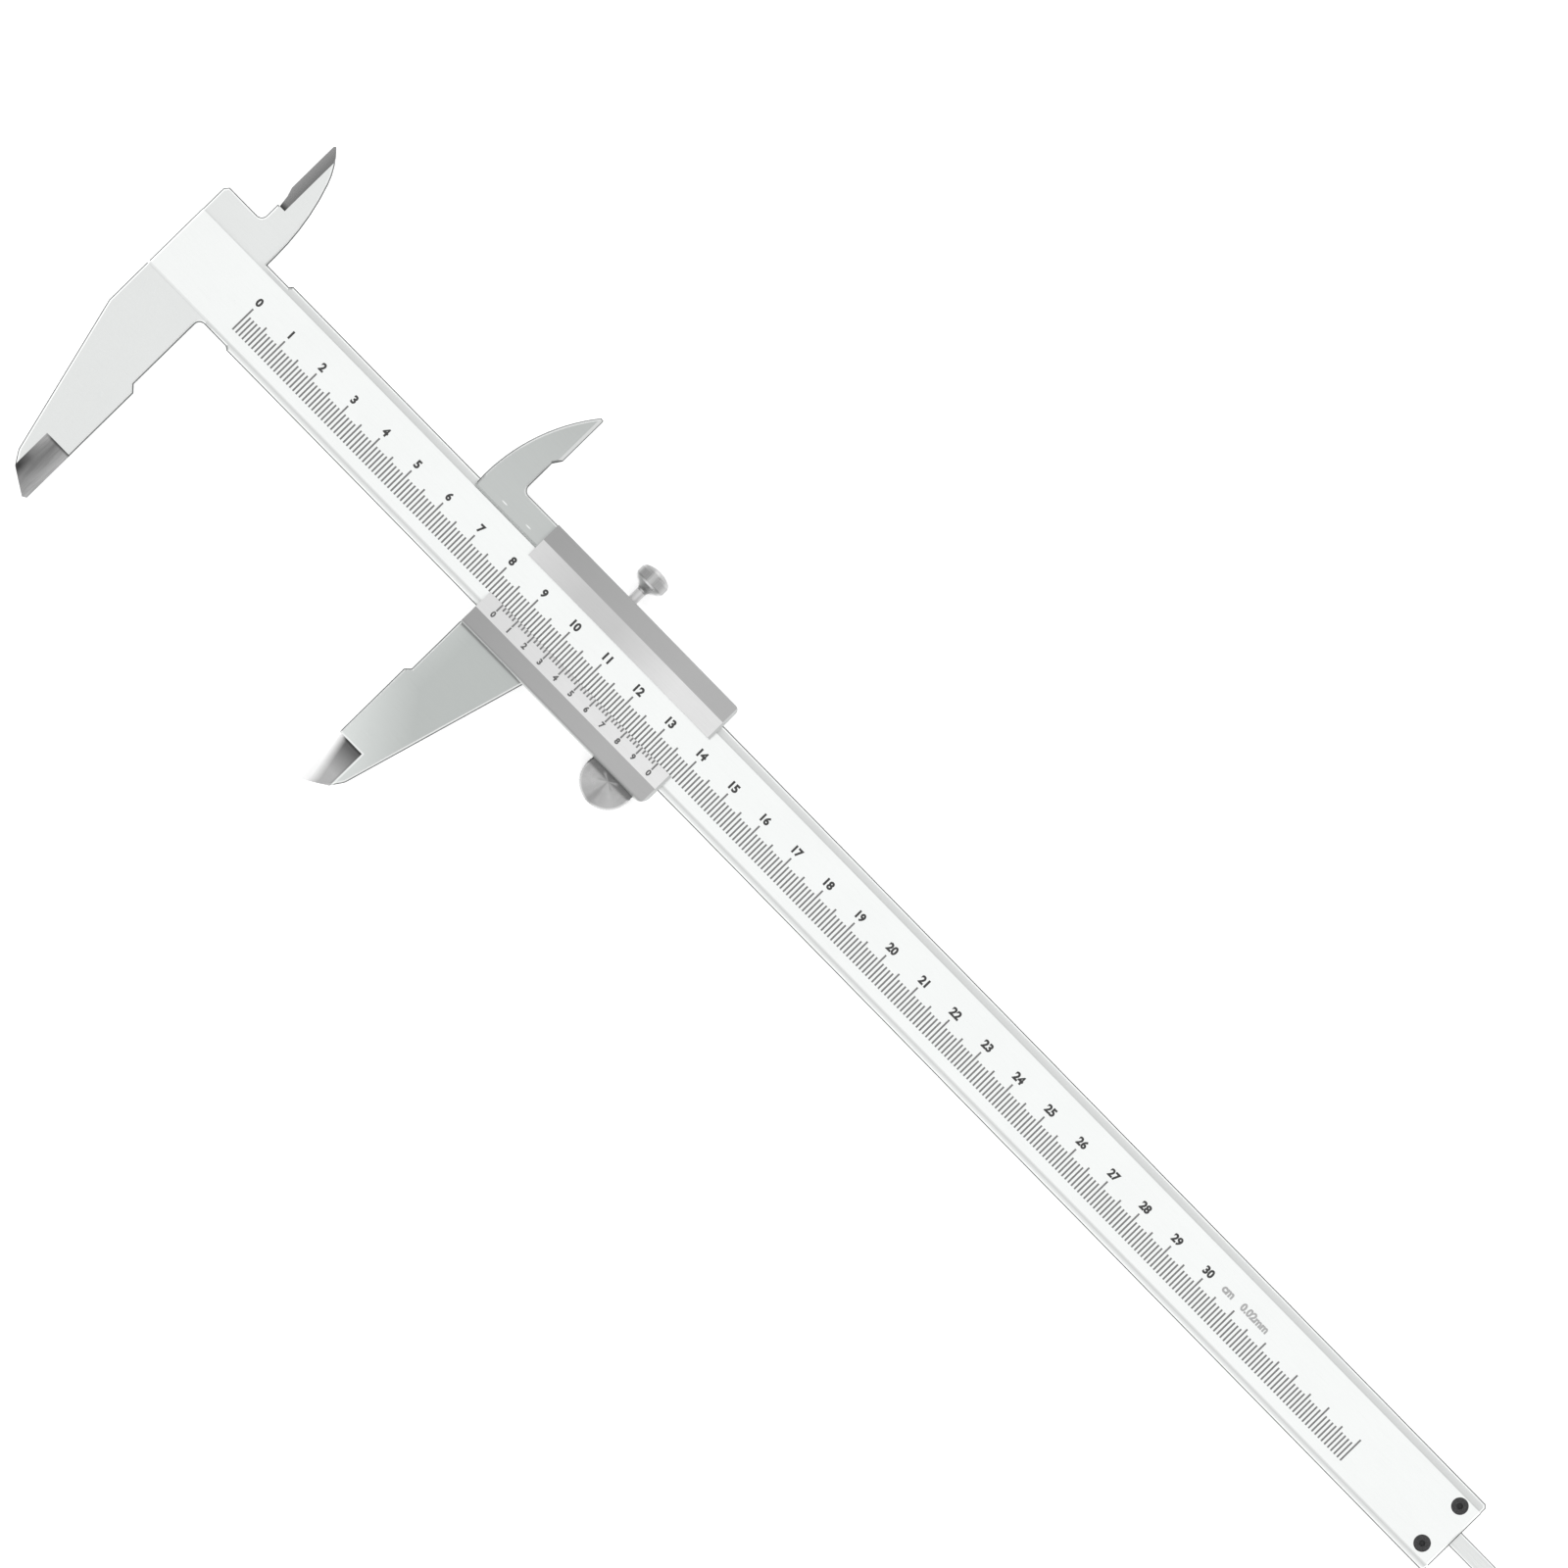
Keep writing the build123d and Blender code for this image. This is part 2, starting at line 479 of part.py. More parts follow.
# ---- lock screw: rounded head with a fine knurl and a dome, on a bare shank ----
lock_tip_y = gib_back_y + 0.01
with BuildPart() as lock_screw:
    lock_axis = Axis((ZERO_X + LOCK_X, AXIS_Y, SCREW_Z), (0, 1, 0))
    with BuildSketch(level(SCREW_Z)):
        with BuildLine():
            flare = (LOCK_X + LOCK_SHANK + 0.2, 18.7)
            shoulder = (LOCK_X + LOCK_HEAD - 0.45, 20.0)
            rim_top = (LOCK_X + LOCK_HEAD, 22.4)
            dome_edge = (LOCK_X + LOCK_HEAD - 0.5, LOCK_TOP_Y - 0.95)
            Polyline(
                (LOCK_X, LOCK_TOP_Y), (LOCK_X, lock_tip_y), (LOCK_X + LOCK_SHANK - 0.3, lock_tip_y),
                (LOCK_X + LOCK_SHANK, lock_tip_y + 0.3), (LOCK_X + LOCK_SHANK, 18.0), flare,
                shoulder, (LOCK_X + LOCK_HEAD, 20.8), rim_top, dome_edge,
            )
            TangentArc((LOCK_X, LOCK_TOP_Y), dome_edge, tangent=(1, 0))
        make_face()
        fillet(nearest(vertices(), *flare), radius=0.9)
        fillet(nearest(vertices(), *shoulder), radius=1.2)
        fillet(nearest(vertices(), *rim_top), radius=0.5)
    revolve(axis=lock_axis)
    # fine straight knurl on the rim
    with BuildSketch(top_edge(LOCK_X).offset(lock_tip_y - SLIDER_TOP_Y)):
        Polygon(*knurl_outline(LOCK_KNURL, 0.06, 48), align=None)
    extrude(amount=LOCK_TOP_Y - lock_tip_y, mode=Mode.INTERSECT)
save(lock_screw, "lock_screw")

# ---- thumb roller: knurled disc that runs on the beam's lower edge ----
with BuildPart() as thumb_roller:
    with BuildSketch(spot(ROLLER_X, ROLLER_Y, ROLLER_BACK)):
        Polygon(*knurl_outline(ROLLER_RADIUS, 0.14, 60), align=None)
    extrude(amount=ROLLER_FRONT - ROLLER_BACK)
    roller_axis = Axis((ZERO_X + ROLLER_X, AXIS_Y + ROLLER_Y, 0), (0, 0, 1))
    with BuildSketch(along(ROLLER_Y)):
        with Locations((ROLLER_X, (ROLLER_BACK + ROLLER_FRONT) / 2)):
            Rectangle(ROLLER_RADIUS, ROLLER_FRONT - ROLLER_BACK, align=(Align.MIN, Align.CENTER))
        chamfer(vertices().group_by(Axis.X)[-1], length=0.45)
    revolve(axis=roller_axis, mode=Mode.INTERSECT)
    with Locations(behind(ROLLER_X, ROLLER_Y, ROLLER_BACK)):
        Hole(AXLE_RADIUS + 0.04, 2.7)
save(thumb_roller, "thumb_roller")

with BuildPart(spot(ROLLER_X, ROLLER_Y, FLOOR_Z)) as roller_washer:
    Cylinder(2.6, ROLLER_BACK - FLOOR_Z - 0.02, align=(Align.CENTER, Align.CENTER, Align.MIN))
    Hole(AXLE_RADIUS + FIT)
save(roller_washer, "roller_washer")

with BuildPart(spot(ROLLER_X, ROLLER_Y, COVER_THICKNESS)) as roller_axle:
    Cylinder(AXLE_RADIUS, 4.2, align=(Align.CENTER, Align.CENTER, Align.MIN))
    chamfer(edges().filter_by(GeomType.CIRCLE), length=0.15)
save(roller_axle, "roller_axle")
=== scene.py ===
import math

import bpy
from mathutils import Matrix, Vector

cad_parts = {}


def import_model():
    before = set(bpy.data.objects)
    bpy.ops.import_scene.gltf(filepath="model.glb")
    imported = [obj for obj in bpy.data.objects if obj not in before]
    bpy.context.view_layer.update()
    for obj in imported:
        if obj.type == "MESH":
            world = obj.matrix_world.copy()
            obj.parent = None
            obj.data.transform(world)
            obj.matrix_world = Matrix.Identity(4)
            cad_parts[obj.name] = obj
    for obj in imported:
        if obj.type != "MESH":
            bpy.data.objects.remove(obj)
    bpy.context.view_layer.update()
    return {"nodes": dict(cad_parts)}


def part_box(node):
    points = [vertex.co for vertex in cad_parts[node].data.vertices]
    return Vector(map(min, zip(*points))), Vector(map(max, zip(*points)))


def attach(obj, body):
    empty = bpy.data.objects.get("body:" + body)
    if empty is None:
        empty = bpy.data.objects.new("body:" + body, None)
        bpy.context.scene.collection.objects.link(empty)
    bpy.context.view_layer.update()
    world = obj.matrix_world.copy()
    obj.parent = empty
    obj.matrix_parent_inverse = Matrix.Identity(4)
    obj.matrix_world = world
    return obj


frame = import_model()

# The caliper lies on its back: x runs along the beam, y towards the inner jaws, z out of the
# graduated face. Here x is counted from the main scale's zero line, y from the beam's
# centreline and z from the floor, all in millimetres, as in the CAD model.
MM = 0.001
HEAD_LENGTH = 23.8  # from the head's left face to the zero line

beam_low, beam_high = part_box("beam")
stop_low, stop_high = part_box("end_stop_plate")
ZERO_X = beam_low.x + HEAD_LENGTH * MM  # where x and y are counted from, in metres
AXIS_Y = (stop_low.y + stop_high.y) / 2

# the beam and its fixed jaws
BEAM_BACK_Z = beam_low.z / MM
BEAM_FRONT_Z = beam_high.z / MM
END_SCREW_SINK = 0.03  # how far the end screws sit below the scale's face
SCALE_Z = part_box("end_screw_upper")[1].z / MM + END_SCREW_SINK
LEDGE_Z = BEAM_BACK_Z + 2.5
EDGE_Y = 10.2  # the beam's upper edge
LEDGE_Y = 8.05  # the step from the scale face down to the ledge along that edge
SCALE_LOW_Y = -8.4  # from here the sunk scale face slopes up to the beam's lower rim
RIM_Y = -9.0  # where that slope reaches the rim
JAW_X = -5.3  # measuring face of the fixed outer jaw
TIP_WIDTH = 7.02  # hollow-ground tips of both outer jaws
TIP_SHOULDER_Y = -51.25
KNIFE_X = -13.4  # edge of the fixed inner blade
BEVEL_WIDTH = 2.75
BEVEL_LOW_Y = 20.55

# the slider and its moving jaws, where the photograph shows them
READING = 85.4  # how far the jaws stand open, and the place of the vernier's zero line
SLIDER_FRONT_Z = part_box("slider_frame")[1].z / MM
SLIDER_LEFT_X, SLIDER_RIGHT_X = 81.4, 138.6
SLIDER_BOTTOM_Y = -15.15
UPPER_BEVEL_Y = 10.65  # where the window's upper slope reaches the slider's front
BLADE_FRONT_Z = LEDGE_Z + 2.13
BLADE_FOOT_Y = 7.0  # a little below the moving inner blade's plate
GLINT_SPANS_X = ((68.9, 70.2), (76.4, 77.6))  # two painted glints at the blade's foot
ROD_HALF_WIDTH = 2.0
ROLLER_RIM_RADIUS = 5.9  # where the roller's broken rim begins

# the vernier strip: a slope from its edge over the scale up to the slider's front
VERNIER_TOP_Y = -5.85
VERNIER_LOW_Y = -10.35
VERNIER_EDGE_Z = BEAM_FRONT_Z + 0.27
VERNIER_RISE = (SLIDER_FRONT_Z - VERNIER_EDGE_Z) / (VERNIER_TOP_Y - VERNIER_LOW_Y)

# the lock screw, from the slider upwards: neck, cone and head
CONE_LOW_Y, CONE_HIGH_Y = 18.9, 20.4
HEAD_LOW_Y, HEAD_HIGH_Y = 19.9, 23.9

# noise: sizes in features to the metre, and the stretch that makes lines along the beam
FROST, CLOUDS, GRINDING, BRUSHING = 7000, 60, 9000, 8000
ALONG_BEAM = (0.02, 1, 1)
RINGS_PER_MM = 5.5  # turning marks


def world(x, y, z):
    """A point given in scale millimetres, as Blender's metres."""
    return Vector((ZERO_X + x * MM, AXIS_Y + y * MM, z * MM))


def middle_of(node):
    """The middle of a node's box, in scale millimetres."""
    low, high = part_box(node)
    middle = (low + high) / (2 * MM)
    return middle.x - ZERO_X / MM, middle.y - AXIS_Y / MM, middle.z


def add_object(name, data):
    thing = bpy.data.objects.new(name, data)
    bpy.context.scene.collection.objects.link(thing)
    return thing


# ---------------------------------------------------------------- node helper

class Shade:
    """A material's node tree, with short ways to say where a colour goes.

    x, y and z are the place on the part at rest, in scale millimetres. slant is 1 on broken
    edges and slopes that lean out of the front face, and side is 1 on the side faces.
    """

    def __init__(self, name):
        self.material = bpy.data.materials.new(name)
        self.material.use_nodes = True
        self.tree = self.material.node_tree
        self.tree.nodes.clear()
        out = self.tree.nodes.new("ShaderNodeOutputMaterial")
        self.bsdf = self.tree.nodes.new("ShaderNodeBsdfPrincipled")
        self.tree.links.new(self.bsdf.outputs[0], out.inputs[0])
        coordinates = self.tree.nodes.new("ShaderNodeTexCoord")
        self.place = coordinates.outputs["Object"]
        mapping = self.tree.nodes.new("ShaderNodeMapping")
        mapping.inputs["Location"].default_value = (-ZERO_X / MM, -AXIS_Y / MM, 0.0)
        mapping.inputs["Scale"].default_value = (1 / MM, 1 / MM, 1 / MM)
        self.tree.links.new(self.place, mapping.inputs[0])
        self.x, self.y, self.z = self.split(mapping.outputs[0])
        facing = self.split(coordinates.outputs["Normal"])[2]
        self.slant = self.between(facing, 0.5, 0.85, 0.03)
        self.side = self.between(facing, -0.5, 0.4)

    def split(self, vector):
        node = self.tree.nodes.new("ShaderNodeSeparateXYZ")
        self.tree.links.new(vector, node.inputs[0])
        return node.outputs

    def feed(self, socket, value):
        """Link an output to a socket, or set a plain number or colour on it."""
        if isinstance(value, bpy.types.NodeSocket):
            self.tree.links.new(value, socket)
        elif isinstance(value, tuple):
            socket.default_value = (*value, 1.0)
        else:
            socket.default_value = value

    def math(self, operation, a, b=0.0):
        node = self.tree.nodes.new("ShaderNodeMath")
        node.operation = operation
        self.feed(node.inputs[0], a)
        self.feed(node.inputs[1], b)
        return node.outputs[0]

    def ramp(self, value, low, high, to_low=0.0, to_high=1.0):
        """Map a value from one span to another, and hold it at the ends."""
        node = self.tree.nodes.new("ShaderNodeMapRange")
        for socket, number in zip(node.inputs, (value, low, high, to_low, to_high)):
            self.feed(socket, number)
        return node.outputs[0]

    def above(self, value, edge, soft=0.05):
        """1 above an edge and 0 below it, blended over soft on either side."""
        return self.ramp(value, edge - soft, edge + soft)

    def below(self, value, edge, soft=0.05):
        return self.ramp(value, edge - soft, edge + soft, 1.0, 0.0)

    def between(self, value, low, high, soft=0.05):
        return self.all(self.above(value, low, soft), self.below(value, high, soft))

    def all(self, first, *others):
        """The product of masks."""
        for other in others:
            first = self.math("MULTIPLY", first, other)
        return first

    def either(self, a, b):
        return self.math("MAXIMUM", a, b)

    def blend(self, share, a, b):
        """Colour a where share is 0, colour b where it is 1."""
        node = self.tree.nodes.new("ShaderNodeMix")
        node.data_type = "RGBA"
        for socket, value in zip((node.inputs[0], *node.inputs[6:8]), (share, a, b)):
            self.feed(socket, value)
        return node.outputs[2]

    def mottle(self, colour, other, noise, low, high, share=1.0):
        """Let another colour in, up to a share, where noise rises from low to high."""
        return self.blend(self.ramp(noise, low, high, 0.0, share), colour, other)

    def rough(self, noise, least, most):
        """Roughness that varies with noise."""
        return self.ramp(noise, 0.3, 0.7, least, most)

    def noise(self, per_metre, stretch=(1, 1, 1), detail=2.0):
        mapping = self.tree.nodes.new("ShaderNodeMapping")
        self.tree.links.new(self.place, mapping.inputs[0])
        mapping.inputs["Scale"].default_value = stretch
        node = self.tree.nodes.new("ShaderNodeTexNoise")
        self.tree.links.new(mapping.outputs[0], node.inputs["Vector"])
        node.inputs["Scale"].default_value = per_metre
        node.inputs["Detail"].default_value = detail
        return node.outputs[0]

    def bump(self, height, strength, depth):
        """Relief whose full depth is given in millimetres."""
        node = self.tree.nodes.new("ShaderNodeBump")
        node.inputs["Strength"].default_value = strength
        node.inputs["Distance"].default_value = depth * MM
        self.feed(node.inputs["Height"], height)
        self.tree.links.new(node.outputs[0], self.bsdf.inputs["Normal"])

    def finish(self, colour, roughness, metallic=1.0):
        self.feed(self.bsdf.inputs["Base Color"], colour)
        self.feed(self.bsdf.inputs["Roughness"], roughness)
        self.bsdf.inputs["Metallic"].default_value = metallic
        return self.material


def steel(value, tint=0.018):
    """A cool grey, very slightly green."""
    return (value * (1 - tint), value, value * (1 - tint / 2))


def grey(value):
    return steel(value, 0.0)


# ---------------------------------------------------------------- materials

BEYOND = 100.0  # further from the centreline than any part reaches


def edge_lines(s, colour, front_z, low_y=-BEYOND, high_y=BEYOND, bright=0.95, dark=0.11):
    """Painted highlights on broken edges under a front face, with a painted dark line where each
    meets its side.
    """
    bright_depth, dark_depth = 0.33, 0.7
    slant = s.all(s.slant, s.between(s.y, low_y, high_y))
    depth = s.math("SUBTRACT", front_z, s.z)
    colour = s.blend(s.all(slant, s.between(depth, -0.1, bright_depth)), colour, steel(bright))
    return s.blend(s.all(slant, s.between(depth, bright_depth, dark_depth)), colour, steel(dark))


def darker_sides(s, colour, value=0.40):
    """Painted shade: the side faces are made darker than the front faces."""
    return s.blend(s.all(s.side, 0.75), colour, steel(value))


def satin(s, frost, frost_share, lines, lines_share, rough_span, glossy):
    """Relief from frost and grinding lines, and a roughness that is less under a mask."""
    relief = s.math("ADD", s.all(lines, lines_share), s.all(frost, frost_share))
    s.bump(relief, 0.25, 0.01)
    return s.math("SUBTRACT", s.rough(frost, *rough_span), s.all(glossy, 0.12))


def fixed_bevel(s, colour):
    """The ground bevel of the fixed inner blade, in painted shade that is nearly black at its
    root.
    """
    bevel = s.all(s.above(s.y, BEVEL_LOW_Y), s.below(s.x, KNIFE_X + BEVEL_WIDTH))
    root = s.below(s.y, BEVEL_LOW_Y + 0.9, 0.6)
    bevel_shade = s.blend(s.ramp(s.x, KNIFE_X, KNIFE_X + BEVEL_WIDTH), grey(0.34), grey(0.21))
    return bevel, s.blend(bevel, colour, s.blend(root, bevel_shade, grey(0.06)))


def fixed_tip(s, colour):
    """The hollow-ground tip of the fixed outer jaw: streaked, with painted shade that grows
    lighter to the right and above.
    """
    wall_x = JAW_X - TIP_WIDTH
    tip = s.all(s.below(s.y, TIP_SHOULDER_Y), s.above(s.x, wall_x))
    tip_shading = s.blend(s.ramp(s.x, JAW_X - 3.8, JAW_X - 0.2), grey(0.185), grey(0.41))
    left = s.below(s.x, wall_x + 1.8, 1.2)
    high = s.ramp(s.y, TIP_SHOULDER_Y - 7.0, TIP_SHOULDER_Y - 1.0)
    tip_shading = s.blend(s.all(left, high), tip_shading, grey(0.43))
    low = s.ramp(s.y, TIP_SHOULDER_Y - 12.0, TIP_SHOULDER_Y - 7.0, 0.3, 0.0)
    tip_shading = s.blend(low, tip_shading, grey(0.40))
    streaks = s.noise(1500, (1, 0.12, 1))
    tip_shading = s.mottle(tip_shading, grey(0.12), streaks, 0.42, 0.68, 0.28)
    # painted shadow along the shoulder and in the lower left corner
    shoulder = s.all(s.above(s.y, TIP_SHOULDER_Y - 0.4, 0.3), s.above(s.x, wall_x + 0.8, 0.8))
    corner = s.all(s.below(s.y, TIP_SHOULDER_Y - 7.5, 2.0), s.below(s.x, wall_x + 1.7, 0.8))
    tip_shading = s.blend(s.all(s.either(shoulder, corner), 0.88), tip_shading, grey(0.03))
    return tip, s.blend(tip, colour, tip_shading)


def satin_beam():
    """Satin chrome: near-white frosted scale, greyer ground jaws, dark hollow-ground tip."""
    s = Shade("satin_chrome_beam")
    frost, cloud, lines = s.noise(FROST), s.noise(CLOUDS), s.noise(GRINDING, ALONG_BEAM)
    # the lower jaw is ground greyer than the scale and the head
    jaw = s.all(s.below(s.x, JAW_X + 0.5), s.below(s.y, RIM_Y + 0.15))
    colour = s.blend(jaw, steel(0.89), steel(0.755))
    bar = s.above(s.x, JAW_X)
    # painted shade on the slope from the scale face up to the lower rim
    slope = s.between(s.y, RIM_Y - 0.5, SCALE_LOW_Y - 0.25, 0.25)
    colour = s.blend(s.all(bar, slope), colour, steel(0.71))
    # painted shade: the ledge is darkest beside its step and grows lighter outwards
    ledge = s.blend(s.ramp(s.y, LEDGE_Y + 0.9, EDGE_Y - 0.35), steel(0.66), steel(0.73))
    ledge = s.blend(s.below(s.x, JAW_X + 0.3, 2.0), ledge, steel(0.765))
    colour = s.blend(s.above(s.y, LEDGE_Y), colour, ledge)
    colour = s.mottle(colour, steel(0.62), cloud, 0.35, 0.75, 0.06)
    colour = s.mottle(colour, steel(0.5), lines, 0.45, 0.8, 0.08)
    colour = edge_lines(s, colour, BEAM_FRONT_Z, high_y=RIM_Y, bright=0.86)
    colour = edge_lines(s, colour, SCALE_Z, RIM_Y, LEDGE_Y)
    colour = edge_lines(s, colour, LEDGE_Z, low_y=LEDGE_Y, bright=0.84)
    bevel, colour = fixed_bevel(s, colour)
    tip, colour = fixed_tip(s, colour)
    glossy = s.either(s.either(tip, bevel), s.slant)
    rough = satin(s, frost, 0.5, lines, 0.7, (0.27, 0.36), glossy)
    return s.finish(darker_sides(s, colour), rough)


def slider_faces(s):
    """Dark ground flats above and below the light slopes of the window."""
    # painted reflections: the tones of the slopes and flats change from left to right, with what
    # they reflect
    upper = s.blend(s.ramp(s.x, 107.0, 125.0), grey(0.66), grey(0.86))
    upper = s.blend(s.ramp(s.x, 82.0, 96.0, 0.75, 0.0), upper, grey(0.80))
    vernier = s.blend(s.ramp(s.x, 84.0, 130.0), grey(0.81), grey(0.90))
    slopes = s.blend(s.above(s.y, 0.0), vernier, upper)
    flats = s.blend(s.ramp(s.x, 84.0, 124.0), grey(0.345), grey(0.425))
    colour = s.blend(s.between(s.y, VERNIER_LOW_Y, UPPER_BEVEL_Y), flats, slopes)
    # painted highlights on the broken ends of the flats and on the lower edge, and painted shade
    # on that edge over the roller
    colour = s.blend(s.above(s.x, SLIDER_RIGHT_X - 0.6), colour, steel(0.62))
    bottom = s.below(s.y, SLIDER_BOTTOM_Y + 0.5, 0.3)
    low_edge = s.all(bottom, s.below(s.z, SLIDER_FRONT_Z - 0.1))
    colour = s.blend(low_edge, colour, steel(0.60))
    roller_x, _, _ = middle_of("thumb_roller")
    shade_over_roller = s.between(s.x, roller_x - 6.3, roller_x + 6.3, 0.3)
    colour = s.blend(s.all(low_edge, shade_over_roller), colour, steel(0.20))
    # painted shade: a dark line where the slopes meet the beam
    slope_edge_shade = s.between(s.z, BEAM_FRONT_Z + 0.05, VERNIER_EDGE_Z - 0.02)
    return s.blend(slope_edge_shade, colour, steel(0.30))


def moving_blade(s, cloud):
    """The moving inner blade, a plate in front of the beam's ledge, with two painted glints at
    its foot.
    """
    blade = s.blend(s.ramp(s.y, 14.0, 34.0), steel(0.54, 0.035), steel(0.50, 0.035))
    blade = s.mottle(blade, steel(0.56, 0.035), cloud, 0.4, 0.65, 0.4)
    # painted highlight along the knife's bevel
    knife_highlight = s.all(s.above(s.x, KNIFE_X + READING - 0.95, 0.1), s.above(s.y, 23.0))
    blade = s.blend(knife_highlight, blade, steel(0.79))
    # painted highlights: two small glints along the beam's upper edge at the blade's foot
    glints = s.either(*(s.between(s.x, left, right, 0.3) for left, right in GLINT_SPANS_X))
    foot = s.between(s.y, EDGE_Y - 0.12, EDGE_Y + 0.1, 0.1)
    blade = s.blend(s.all(glints, foot), blade, steel(0.95))
    return edge_lines(s, blade, BLADE_FRONT_Z, low_y=LEDGE_Y + 1.0, bright=0.66, dark=0.20)


def moving_jaw(s):
    """The moving outer jaw, painted lighter towards its tip, with a painted shadow under the
    slider and a painted highlight along the tip's wall.
    """
    wall_x = JAW_X + READING + TIP_WIDTH
    down = s.ramp(s.y, -54.0, -32.0, 0.75, 0.0)
    painted_glow = s.math("ADD", down, s.ramp(s.x, 80.0, 92.0, 0.28, -0.28))
    jaw = s.blend(painted_glow, steel(0.50, 0.045), steel(0.75, 0.035))
    step_shadow = s.above(s.y, SLIDER_BOTTOM_Y - 0.4, 0.2)
    jaw = s.blend(step_shadow, jaw, steel(0.30))
    jaw = edge_lines(s, jaw, BEAM_FRONT_Z, bright=0.78, dark=0.14)
    wall = s.all(s.below(s.y, TIP_SHOULDER_Y + 0.4), s.below(s.x, wall_x + 0.4))
    return s.blend(s.all(wall, 0.65), jaw, steel(0.95))


def moving_tip(s, jaw):
    """The moving jaw's hollow-ground tip, painted from dark shade at its root to a white
    highlight at its face.
    """
    wall_x = JAW_X + READING + TIP_WIDTH
    tip = s.all(s.below(s.y, TIP_SHOULDER_Y), s.below(s.x, wall_x))
    down = s.ramp(s.y, TIP_SHOULDER_Y - 7.5, TIP_SHOULDER_Y - 1.2, 1.0, 0.0)
    dark = s.blend(down, grey(0.13), grey(0.50))
    fade_x = s.ramp(s.y, TIP_SHOULDER_Y - 10.5, TIP_SHOULDER_Y - 0.5, wall_x - 3.8, wall_x - 5.8)
    tip_shading = s.blend(s.ramp(s.math("SUBTRACT", s.x, fade_x), -0.8, 1.35), grey(1.0), dark)
    # painted shade along the tip's wall, and a painted shadow under the shoulder
    tip_shading = s.blend(s.all(s.above(s.x, wall_x - 0.3, 0.3), 0.3), tip_shading, grey(0.10))
    shoulder = s.all(s.above(s.y, TIP_SHOULDER_Y - 0.5, 0.3), s.above(s.x, wall_x - 5.2, 0.6))
    return tip, s.blend(tip, jaw, s.blend(shoulder, tip_shading, grey(0.03)))


def ground_slider():
    """The slider: dark ground flats, light satin slopes, mid-grey jaw and blade."""
    s = Shade("ground_chrome_slider")
    lines, frost, cloud = s.noise(GRINDING, ALONG_BEAM), s.noise(FROST), s.noise(CLOUDS)
    in_front = s.below(s.z, BLADE_FRONT_Z + 0.1)
    plate = s.all(in_front, s.above(s.y, BLADE_FOOT_Y), s.below(s.x, SLIDER_LEFT_X))
    colour = s.blend(plate, slider_faces(s), moving_blade(s, cloud))
    tip, jaw = moving_tip(s, moving_jaw(s))
    colour = s.blend(s.below(s.y, SLIDER_BOTTOM_Y), colour, jaw)
    colour = s.mottle(colour, steel(0.40), cloud, 0.35, 0.75, 0.08)
    colour = s.mottle(colour, steel(0.30), lines, 0.45, 0.8, 0.10)
    rough = satin(s, frost, 0.4, lines, 0.8, (0.28, 0.38), s.either(tip, s.slant))
    return s.finish(darker_sides(s, colour, 0.30), rough)


def ground_rod():
    """The depth rod: bright ground front, with a painted highlight and a painted dark line along
    its broken edges.
    """
    s = Shade("ground_rod")
    lines = s.noise(BRUSHING, ALONG_BEAM, detail=2.5)
    half = s.math("ABSOLUTE", s.y)
    broken = ROD_HALF_WIDTH - 0.2
    colour = s.mottle(steel(0.745), steel(0.55), lines, 0.4, 0.8, 0.2)
    colour = s.blend(s.between(half, broken - 0.25, broken), colour, steel(0.92))
    colour = s.blend(s.above(half, broken), colour, steel(0.16))
    s.bump(lines, 0.3, 0.01)
    return s.finish(darker_sides(s, colour), s.rough(lines, 0.25, 0.38))


def brushed(name, value, stretch=ALONG_BEAM):
    """Plain brushed metal, with lines along the axis whose stretch is small."""
    s = Shade(name)
    lines = s.noise(BRUSHING, stretch, detail=2.5)
    cloud = s.noise(80)
    colour = s.mottle(steel(value), steel(value * 0.6), lines, 0.4, 0.8, 0.25)
    colour = s.mottle(colour, steel(value * 0.7), cloud, 0.4, 0.7, 0.12)
    s.bump(lines, 0.3, 0.01)
    return s.finish(darker_sides(s, colour), s.rough(lines, 0.25, 0.38))


def brass():
    s = Shade("rolled_brass")
    lines = s.noise(BRUSHING, ALONG_BEAM)
    cloud = s.noise(300, detail=3.0)
    colour = s.mottle((0.78, 0.58, 0.27), (0.60, 0.40, 0.17), cloud, 0.35, 0.7)
    s.bump(lines, 0.3, 0.01)
    return s.finish(colour, s.rough(lines, 0.28, 0.42))


def turned(s, axis, a, b):
    """Fine rings round an axis, from the two distances across it, and their stretched gloss.

    Returns the distance from the axis, and uneven noise for the colour and roughness.
    """
    radius = s.math("SQRT", s.math("ADD", s.math("MULTIPLY", a, a), s.math("MULTIPLY", b, b)))
    ridge = s.math("SINE", s.math("MULTIPLY", radius, RINGS_PER_MM * 2 * math.pi))
    s.bump(ridge, 0.5, 0.012)
    s.bsdf.inputs["Anisotropic"].default_value = 0.8
    tangent = s.tree.nodes.new("ShaderNodeTangent")
    tangent.direction_type = "RADIAL"
    tangent.axis = axis
    s.tree.links.new(tangent.outputs[0], s.bsdf.inputs["Tangent"])
    return radius, s.noise(900, detail=3.0)


